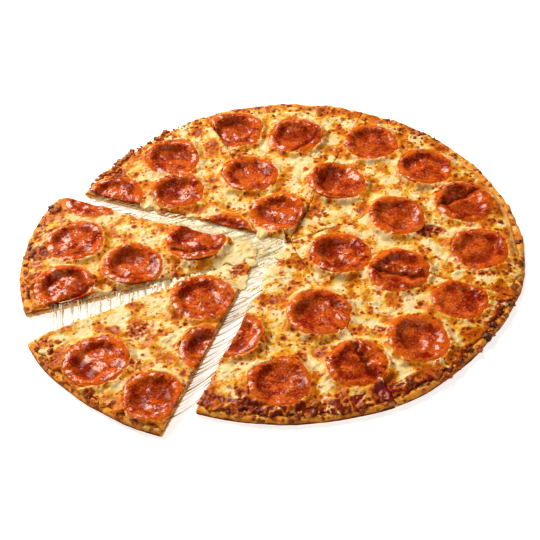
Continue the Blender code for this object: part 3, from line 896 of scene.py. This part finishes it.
# Each run of strings: the cut edges that it joins, how far in from the rim it runs, how many strings
# there are, and how thick they are
STRING_RUNS = (
    ("strings_between_the_drawn_slices", (LEFT, True), (LOWER_LEFT, False), 16, 122, 66, 0.00029),
    ("strings_from_the_lower_slice", (LOWER_LEFT, True), (6, False), 10, 134, 54, 0.00019),
    ("strings_from_the_upper_slice", (LEFT, False), (3, True), 10, 66, 26, 0.00017),
)
for seed, (name, one, other, near, far, count, thickness) in enumerate(STRING_RUNS):
    strings = cheese_strings(name, one, other, near, far, count, thickness, seed)
    # The first run is the pale pulled cheese; the others wear the darker copy, which is painted shade.
    dress(strings, pulled if seed == 0 else painted_shade_strings, "melted_cheese")


# The toasted bits. Crumbs of cheese and dough have browned into hard little nuggets, thickest along
# the rim, and a few bubbles of dough at the very edge have burnt nearly black.

# Burnt bubbles: the slice, the direction from its rim's middle, how far in from the rim, its width
# and its height, in mm
BURNT_BUBBLES = (
    (1, 27, 3.5, 5.0, 1.6),
    (8, -3, 4.0, 6.0, 2.2),
    (8, -11, 4.0, 6.0, 2.2),
    (8, -20, 5.0, 5.0, 2.2),
    (7, -25, 3.5, 6.5, 2.2),
    (7, -29, 4.0, 5.0, 2.0),
    (7, -34, 7.5, 7.0, 2.6),
    (7, -38, 5.5, 7.5, 2.6),
    (7, -44, 7.5, 6.0, 2.4),
    (7, -48, 6.0, 4.5, 2.0),
    (7, -52, 7.0, 6.5, 2.4),
    (7, -62, 9.5, 8.0, 2.6),
    (6, -75, 6.5, 6.0, 2.4),
    (6, -80, 5.8, 5.5, 2.2),
    (6, -86, 8.5, 5.0, 2.2),
    (6, -92, 7.0, 6.5, 2.6),
    (6, -98, 6.0, 5.5, 2.4),
    (5, 209, 4.5, 5.0, 2.2),
    (4, 160, 5.3, 6.5, 3.4),
    (4, 167, 3.0, 3.5, 1.8),
    (4, 176, 4.5, 5.0, 2.4),
    (4, 179, 6.0, 6.0, 2.8),
    (4, 182, 3.8, 4.5, 2.4),
    (4, 186, 5.0, 5.0, 2.2),
    (4, 193, 5.5, 5.0, 2.8),
    (3, 150, 5.0, 4.5, 1.8),
    (3, 139, 5.0, 6.0, 2.0),
    (3, 128, 4.5, 5.0, 2.0),
    (2, 97, 4.0, 5.0, 1.8),
    (2, 78, 4.0, 4.5, 1.6),
    (1, 60, 4.5, 4.5, 1.6),
    (1, 44, 4.0, 5.5, 2.2),
)
NUGGETS_PER_SLICE = 130
NUGGETS_START, NUGGETS_BAND = 0.0024, 0.022  # how far in from the rim they start, and how wide they lie
NUGGET_SMALLEST, NUGGET_RANGE = 0.0007, 0.0018  # half widths
STRIP_START, STRIP_SPAN, STRIP_WIDTH = -8, 42, 0.011  # the bare strip of rim, where none lie


def nugget(width, height, place, seed):
    """One knobbly lump, round above and sunk in what it lies on."""
    lump = new_object("lump", lump_master.data.copy())
    for vertex in lump.data.vertices:
        rough = 1 + 0.7 * noise.noise(vertex.co * 1.5 + Vector((seed, 0, 0)))
        rough += 0.3 * noise.noise(vertex.co * 3.5 + Vector((0, seed, 0)))
        full_size = Vector((vertex.co.x * width, vertex.co.y * width, vertex.co.z * height))
        vertex.co = full_size * rough + place
    return lump


def toasted_crumb():
    """Hard browned cheese and dough, black at the tops of the biggest lumps."""
    material, tree, shader, place = new_material("toasted_crumb")
    fine = noise_at(tree, place, 700.0, 3.0, 0.65)
    cloud = noise_at(tree, place, 150.0, 2.0)
    brown = mix_colour(tree, spread(tree, cloud, 0.40, 0.62), rgb(206, 108, 24), rgb(158, 58, 8))
    brown = mix_colour(tree, spread(tree, fine, 0.55, 0.72), brown, rgb(104, 30, 4))
    burnt = maths(tree, "ADD", kept(tree, "burnt"), maths(tree, "SUBTRACT", fine, 0.5))
    brown = mix_colour(tree, spread(tree, burnt, 0.35, 0.75), brown, rgb(62, 24, 6))
    shader.inputs["Specular IOR Level"].default_value = 0.3
    tree.links.new(brown, shader.inputs["Base Color"])
    tree.links.new(spread(tree, fine, 0.35, 0.65, 0.35, 0.7), shader.inputs["Roughness"])
    add_bump(tree, shader, 0.5, 0.0006, fine)
    return material


crumb = toasted_crumb()
bpy.ops.object.select_all(action="DESELECT")
bpy.ops.mesh.primitive_ico_sphere_add(subdivisions=3, radius=1.0)
lump_master = bpy.context.object
for number in range(1, 9):
    middle, apex, start, end = slice_layout(number)
    rng = random.Random(100 + number)
    discs = [(Vector(d[:2]) + PIZZA_CENTRE, d[2]) for d in PEPPERONI if number in d[5]]
    lumps, burnt = [], []
    for _ in range(NUGGETS_PER_SLICE):
        heading = rng.uniform(start + 1.5, end - 1.5)
        inward = NUGGETS_START + NUGGETS_BAND * rng.random() ** 1.8
        spot = middle + direction(heading) * (PIZZA_RADIUS - inward)
        width = NUGGET_SMALLEST + NUGGET_RANGE * rng.random() ** 1.5
        clustered = 1.5 * noise.noise(Vector((*spot, 0)) / 0.014) + 0.75 * ramp(inward, 0.018, 0.006)
        clear_of_discs = min((spot - centre).length - radius for centre, radius in discs) > 0.0005
        inside = min(-(spot - apex).dot(side) for side, _ in cut_sides(number, 0))
        on_the_strip = (heading - STRIP_START) % 360 < STRIP_SPAN and inward < STRIP_WIDTH
        if clear_of_discs and inside > 0.003 and clustered > 0.35 and not on_the_strip:
            height = 0.0048 + 0.0027 * ramp(inward, 0.001, 0.011)
            thickness = width * rng.uniform(0.45, 0.75)
            place = Vector((spot.x, spot.y, height)) + oven_spread(spot, middle, number)
            lumps.append(nugget(width, thickness, place, rng.random() * 50))
            burnt.append(0.5 * rng.random() ** 2)
    for owner, heading, inward, width, height in BURNT_BUBBLES:
        if owner == number:
            spot = middle + direction(heading) * (PIZZA_RADIUS - inward * MM)
            place = Vector((spot.x, spot.y, 0.0050)) + oven_spread(spot, middle, number)
            lumps.append(nugget(width / 2 * MM, height * 0.85 * MM, place, heading))
            burnt.append(0.2 + 0.17 * height)
    for lump, share in zip(lumps, burnt):
        attribute = lump.data.attributes.new("burnt", "FLOAT", "POINT")
        for value in attribute.data:
            value.value = share
    bpy.ops.object.select_all(action="DESELECT")
    for lump in lumps:
        lump.select_set(True)
    bpy.context.view_layer.objects.active = lumps[0]
    bpy.ops.object.join()
    bits = bpy.context.object
    bits.name = f"toasted_bits_{number}"
    bits.data.shade_smooth()
    dress(bits, crumb, "melted_cheese")
bpy.data.objects.remove(lump_master)


# The pepperoni. Thin discs of cured sausage have curled into shallow cups, glossy with their own fat
# and speckled with paler fat. Painted shade darkens the inner wall, the hollows and a fold's groove to
# a deep red; the thin raised rim is orange, partly its own colour and partly painted light, with a
# painted line of light at the very edge. The cutting wheel has gone through some of them, and each
# half stays with its slice.

DISC_SIDES, DISC_RINGS = 112, 24
DISC_KERF = 0.00006  # how far inside its slice's cut side a half is trimmed
HALF_STEP = 0.00025  # how much higher the second half of a cut disc lies than the first

# Folds that stand out: the disc's number, the direction that the fold runs in, how far it lies to
# the left of the disc's middle, in radii, and its depth in mm
FOLDS = {
    2: (44, -0.55, 0.9),
    5: (28, 0.35, 1.5),
    9: (-69, 0.32, 1.5),
    13: (32, -0.45, 1.1),
    22: (-18, -0.05, 1.5),
    28: (0, -0.45, 1.0),
}


def sliced_sausage():
    """Cured sausage: red-brown, fat-marbled, oily; orange rim partly painted light, hollows painted
    shade.
    """
    material, tree, shader, place = new_material("pepperoni")
    fleck = noise_at(tree, place, 620.0, 3.0, 0.65)
    marble = noise_at(tree, place, 210.0, 4.0, 0.65)
    patch = noise_at(tree, place, 85.0, 2.0)
    reach = kept(tree, "reach")
    meat = mix_colour(tree, spread(tree, patch, 0.36, 0.60), rgb(160, 30, 0), rgb(214, 82, 6))
    meat = mix_colour(tree, spread(tree, marble, 0.48, 0.66), meat, rgb(224, 104, 28))
    meat = mix_colour(tree, spread(tree, fleck, 0.54, 0.68), meat, rgb(230, 142, 84))
    meat = mix_colour(tree, spread(tree, fleck, 0.44, 0.30), meat, rgb(132, 20, 0))
    # Painted shade: a deep red ring on the cup's inner wall, broken by patches, and in the fold's low
    # places.
    wall = maths(tree, "MULTIPLY", spread(tree, reach, 0.42, 0.60), spread(tree, reach, 0.86, 0.70))
    wall = maths(tree, "MULTIPLY", wall, spread(tree, patch, 0.60, 0.40))
    wall = maths(tree, "MAXIMUM", wall, kept(tree, "hollow"))
    meat = mix_colour(tree, maths(tree, "MULTIPLY", wall, 0.62), meat, rgb(122, 14, 0))
    # The orange brim is partly the thin rim's own colour and partly painted light shining through it.
    brim = maths(tree, "MULTIPLY_ADD", maths(tree, "ADD", marble, patch), 0.5, reach)
    brim = maths(tree, "MULTIPLY", spread(tree, brim, 1.26, 1.46), 0.78)
    meat = mix_colour(tree, brim, meat, rgb(230, 102, 10))
    # Painted shade along a fold's groove.
    meat = mix_colour(tree, maths(tree, "MULTIPLY", kept(tree, "groove"), 0.9), meat, rgb(84, 8, 0))
    # Painted light: a paler orange line at the very edge, where light shines through the thin meat.
    edge = maths(tree, "MULTIPLY", spread(tree, reach, 0.955, 0.995), spread(tree, marble, 0.55, 0.42))
    meat = mix_colour(tree, maths(tree, "MULTIPLY", edge, 0.7), meat, rgb(238, 150, 60))
    tree.links.new(meat, shader.inputs["Base Color"])
    rough = spread(tree, marble, 0.35, 0.65, 0.25, 0.5)
    tree.links.new(rough, shader.inputs["Roughness"])
    shader.inputs["Specular IOR Level"].default_value = 0.01
    wet = maths(tree, "MULTIPLY_ADD", fleck, 0.60, noise_at(tree, place, 130.0, 2.0))
    # Where shade is painted, the coat is mostly taken off, so those places stay deep red.
    painted_shade = maths(tree, "ADD", wall, kept(tree, "groove"))
    exposed = maths(tree, "MULTIPLY_ADD", painted_shade, -0.75, 1.0, clamp=True)
    wet = maths(tree, "MULTIPLY", spread(tree, wet, 0.76, 0.92), exposed)
    tree.links.new(wet, shader.inputs["Coat Weight"])
    shader.inputs["Coat Roughness"].default_value = 0.20
    shader.inputs["Coat IOR"].default_value = 1.6
    let_light_in(shader, 0.12, (1.0, 0.30, 0.10), 0.0020)
    grain = maths(tree, "ADD", maths(tree, "MULTIPLY", fleck, 0.7), marble)
    add_bump(tree, shader, 0.8, 0.0016, grain)
    return material


def flat_disc():
    """One flat disc, 1 m in radius, its rings drawn in from a circle: every disc is a copy of it."""
    bpy.ops.object.select_all(action="DESELECT")
    bpy.ops.mesh.primitive_circle_add(vertices=DISC_SIDES, radius=1.0, fill_type="NOTHING")
    bpy.ops.object.mode_set(mode="EDIT")
    bpy.ops.mesh.select_all(action="SELECT")
    radius = 1.0
    for ring in range(1, DISC_RINGS):
        smaller = 1 - ring / DISC_RINGS
        bpy.ops.mesh.extrude_edges_move()
        bpy.ops.transform.resize(value=(smaller / radius, smaller / radius, 1))
        radius = smaller
    bpy.ops.mesh.extrude_edges_move()
    bpy.ops.mesh.merge(type="CENTER")
    bpy.ops.mesh.select_all(action="SELECT")
    bpy.ops.mesh.normals_make_consistent(inside=False)
    bpy.ops.object.mode_set(mode="OBJECT")
    return bpy.context.object


def sausage_relief(disc, number):
    """A disc's fine shape: puckers, a soft fold or two, and masks of its low places for painted shade.
    """
    centre = Vector(disc[:2]) + PIZZA_CENTRE
    radius = disc[2]
    seed = Vector((disc[0] * 50, disc[1] * 50, 0))
    along, aside, depth = FOLDS.get(number, (0, 0, 0))
    square = direction(along + 90)

    def relief(point, normal):
        offset = point.xy - centre
        reach = offset.length / radius
        fold = noise.noise(Vector((offset.x, offset.y, 0)) / (radius * 0.75) + seed)
        pucker = noise.noise(Vector((offset.x, offset.y, 0)) / 0.0050 + seed)
        wrinkle = 1 - 2 * abs(noise.noise(Vector((offset.x, offset.y, 0)) / 0.0026 + seed))
        grain = noise.noise(point / 0.0014)
        heading = offset.normalized() * 5.5
        pleat = noise.noise(Vector((heading.x, heading.y, reach * 1.2)) + seed) * ramp(reach, 0.55, 1.0)
        rise = fold * 2.0 * ramp(reach, 0.9, 0.5) + 0.9 * pleat
        rise += 0.42 * pucker + 0.13 * wrinkle + 0.10 * grain
        # hollow marks the fold's low places, which the material darkens as painted shade.
        hollow = ramp(fold, 0.0, -0.30) * ramp(reach, 0.85, 0.5)
        across = offset.dot(square) / radius - aside + 0.12 * pucker
        # The groove also serves the material as a mask for painted shade.
        groove = ramp(abs(across), 0.13, 0.0) * ramp(reach, 1.0, 0.85) * (depth > 0)
        rise += (0.8 * ramp(abs(across), 0.08, 0.28) * ramp(reach, 1.0, 0.75) - groove) * depth
        lowest = DISC_FLOOR - disc_height(disc, *(point.xy - PIZZA_CENTRE))
        moved = point + Vector((0, 0, max(rise * MM, lowest)))
        return moved, (reach, hollow, groove)

    return relief


sausage = sliced_sausage()
random.seed(7)
master = flat_disc()
for index, disc in enumerate(PEPPERONI, start=1):
    whole = new_object("whole_disc", master.data.copy())
    spot = PIZZA_CENTRE + Vector(disc[:2])
    turn = Matrix.Rotation(random.uniform(0, math.tau), 4, "Z")
    size = Matrix.Diagonal((disc[2], disc[2], disc[2], 1))
    whole.data.transform(Matrix.Translation((spot.x, spot.y, 0)) @ turn @ size)
    for vertex in whole.data.vertices:
        x, y = vertex.co.xy - PIZZA_CENTRE
        vertex.co.z = disc_height(disc, x, y)
        offset = vertex.co.xy - spot
        vertex.co.xy = spot + offset * disc_outline(disc, offset.normalized())
    thick = whole.modifiers.new("thickness", "SOLIDIFY")
    thick.thickness = DISC_THICKNESS
    thick.offset = 0
    soft = whole.modifiers.new("soft_edge", "BEVEL")
    soft.width = 0.0006
    soft.segments = 2
    soft.angle_limit = math.radians(50)
    apply_all(whole)
    shape(whole, sausage_relief(disc, index), ("reach", "hollow", "groove"))
    for order, number in enumerate(disc[5]):
        piece = new_object(f"sliced_sausage_{index:02d}_{number}", whole.data.copy())
        trim_to_slice(piece, number, DISC_KERF)
        piece.data.shade_smooth()
        piece.data.transform(Matrix.Translation((0, 0, HALF_STEP * order)))
        dress(piece, sausage, "pepperoni", f"pepperoni_{index:02d}_on_slice_{number}")
    bpy.data.objects.remove(whole)
bpy.data.objects.remove(master)


# The surface it lies on and the light. A white sweep with one large soft light above and behind on
# the left, as the shine on the pepperoni shows, and a weaker one in front.

CAMERA_AIM = Vector((-0.0028, -0.0196, 0.0))
CAMERA_DISTANCE = 0.950
CAMERA_ELEVATION, CAMERA_ROLL = 43.4, -2.15
LENS = 84.86

bpy.ops.object.select_all(action="DESELECT")
bpy.ops.mesh.primitive_plane_add(size=60.0)
floor = bpy.context.object
floor.name = "floor"
white, tree, shader, _ = new_material("white_sweep")
shader.inputs["Base Color"].default_value = (0.92, 0.92, 0.92, 1)
shader.inputs["Roughness"].default_value = 0.9
shader.inputs["Emission Color"].default_value = (1, 1, 1, 1)
shader.inputs["Emission Strength"].default_value = 0.70
floor.data.materials.append(white)

world = bpy.data.worlds.new("studio")
bpy.context.scene.world = world
world.use_nodes = True
world.node_tree.nodes["Background"].inputs[0].default_value = (1.0, 0.88, 0.70, 1)
world.node_tree.nodes["Background"].inputs[1].default_value = 0.14


def softbox(name, place, size, power, colour):
    """A square light that faces the pizza."""
    data = bpy.data.lights.new(name, "AREA")
    data.size = size
    data.energy = power
    data.color = colour
    light = new_object(name, data)
    light.location = place
    light.rotation_euler = (-Vector(place)).to_track_quat("-Z", "Y").to_euler()


softbox("key", (-1.10, 1.45, 1.50), 1.8, 94, (1.0, 0.95, 0.86))
softbox("fill", (0.7, -0.6, 1.1), 1.0, 2, (1.0, 1.0, 1.0))

camera_data = bpy.data.cameras.new("camera")
camera_data.lens = LENS
camera_data.sensor_width = 36
camera = new_object("camera", camera_data)
tilt = math.radians(CAMERA_ELEVATION)
forward = Vector((0, math.cos(tilt), -math.sin(tilt)))
right = Vector((1, 0, 0))
up = right.cross(forward)
roll = math.radians(CAMERA_ROLL)
rolled_right = right * math.cos(roll) + up * math.sin(roll)
rolled_up = up * math.cos(roll) - right * math.sin(roll)
turned = Matrix((rolled_right, rolled_up, -forward)).transposed().to_4x4()
camera.matrix_world = Matrix.Translation(CAMERA_AIM - forward * CAMERA_DISTANCE) @ turned
bpy.context.scene.camera = camera
bpy.context.scene.view_settings.view_transform = "Standard"
